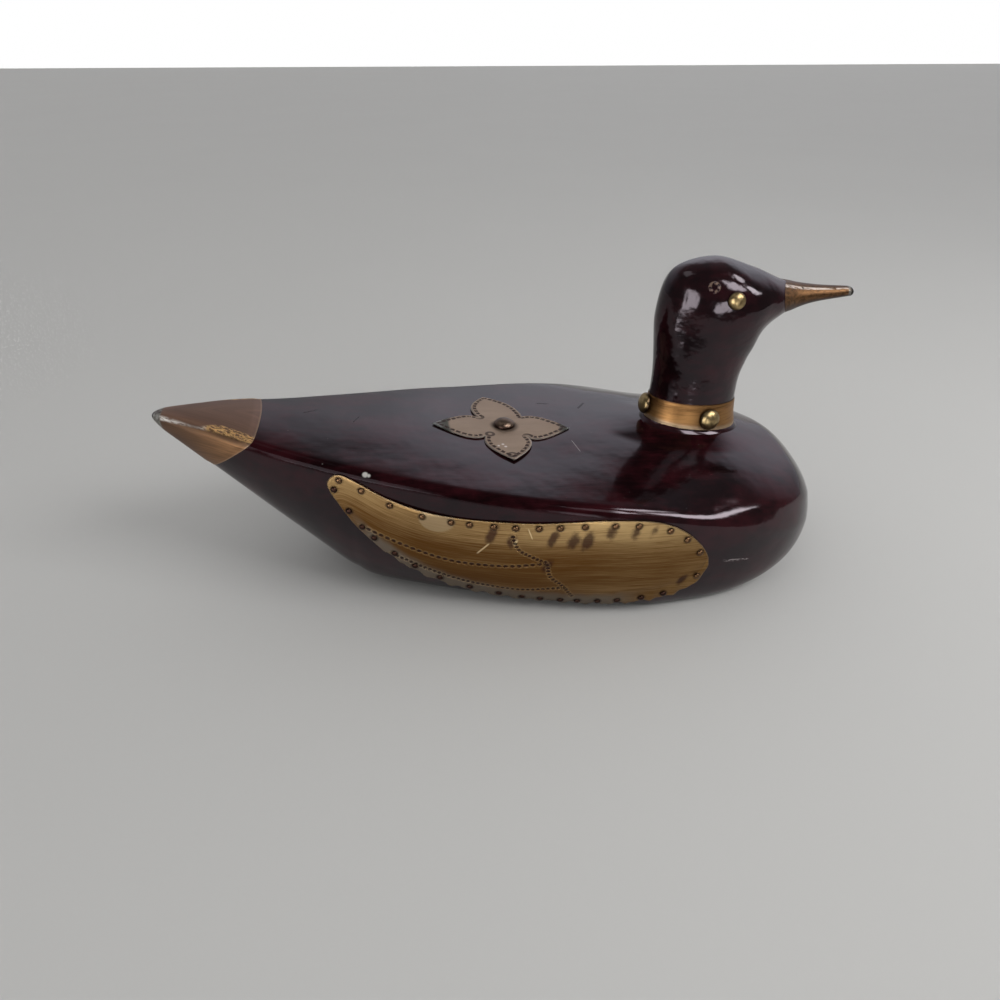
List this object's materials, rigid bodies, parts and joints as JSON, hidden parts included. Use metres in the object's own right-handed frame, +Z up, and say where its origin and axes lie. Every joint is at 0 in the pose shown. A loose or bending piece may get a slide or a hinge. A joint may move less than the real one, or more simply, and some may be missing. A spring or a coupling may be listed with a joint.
{
  "type": "duck decoy",
  "caption": "Carved bird decoy in dark lacquered wood with nailed brass wing plates, a brass flower, a studded collar and capped bill and tail, standing on its flat base.",
  "frame": {"origin": "on the flat underside, in the plane of symmetry, midway between the tail tip and the front of the breast", "axes": "+X from tail to bill, +Y to the bird's left, +Z up from the surface it stands on"},
  "size_m": [0.3031, 0.1336, 0.1361],
  "materials": {
    "lacquer": "dark red-black gloss lacquer over carved wood",
    "dowel_wood": "bare turned wood",
    "cap_brass": "brown aged brass sheet, drawn lengthwise",
    "collar_brass": "orange-brown aged brass strip",
    "wing_brass": "golden brown aged brass sheet with lengthwise grain",
    "flower_brass": "dull tan aged brass sheet",
    "nail_brass": "dark antique brass"
  },
  "bodies": {
    "root": {"body": "lacquer", "head": "lacquer", "neck_dowel": "dowel_wood", "tail_cap": "cap_brass", "bill_cap": "cap_brass", "neck_collar": "collar_brass", "collar_stud_left": "nail_brass", "collar_stud_back": "nail_brass", "collar_stud_right": "nail_brass", "right_eye_stud": "nail_brass", "left_eye_stud": "nail_brass", "flower_plate": "flower_brass", "flower_stud": "nail_brass", "right_wing_plate": "wing_brass", "left_wing_plate": "wing_brass", "right_wing_nail_01": "nail_brass", "right_wing_nail_02": "nail_brass", "right_wing_nail_03": "nail_brass", "right_wing_nail_04": "nail_brass", "right_wing_nail_05": "nail_brass", "right_wing_nail_06": "nail_brass", "right_wing_nail_07": "nail_brass", "right_wing_nail_08": "nail_brass", "right_wing_nail_09": "nail_brass", "right_wing_nail_10": "nail_brass", "right_wing_nail_11": "nail_brass", "right_wing_nail_12": "nail_brass", "right_wing_nail_13": "nail_brass", "right_wing_nail_14": "nail_brass", "right_wing_nail_15": "nail_brass", "right_wing_nail_16": "nail_brass", "right_wing_nail_17": "nail_brass", "left_wing_nail_01": "nail_brass", "left_wing_nail_02": "nail_brass", "left_wing_nail_03": "nail_brass", "left_wing_nail_04": "nail_brass", "left_wing_nail_05": "nail_brass", "left_wing_nail_06": "nail_brass", "left_wing_nail_07": "nail_brass", "left_wing_nail_08": "nail_brass", "left_wing_nail_09": "nail_brass", "left_wing_nail_10": "nail_brass", "left_wing_nail_11": "nail_brass", "left_wing_nail_12": "nail_brass", "left_wing_nail_13": "nail_brass", "left_wing_nail_14": "nail_brass", "left_wing_nail_15": "nail_brass", "left_wing_nail_16": "nail_brass", "left_wing_nail_17": "nail_brass"}
  },
  "joints": []
}
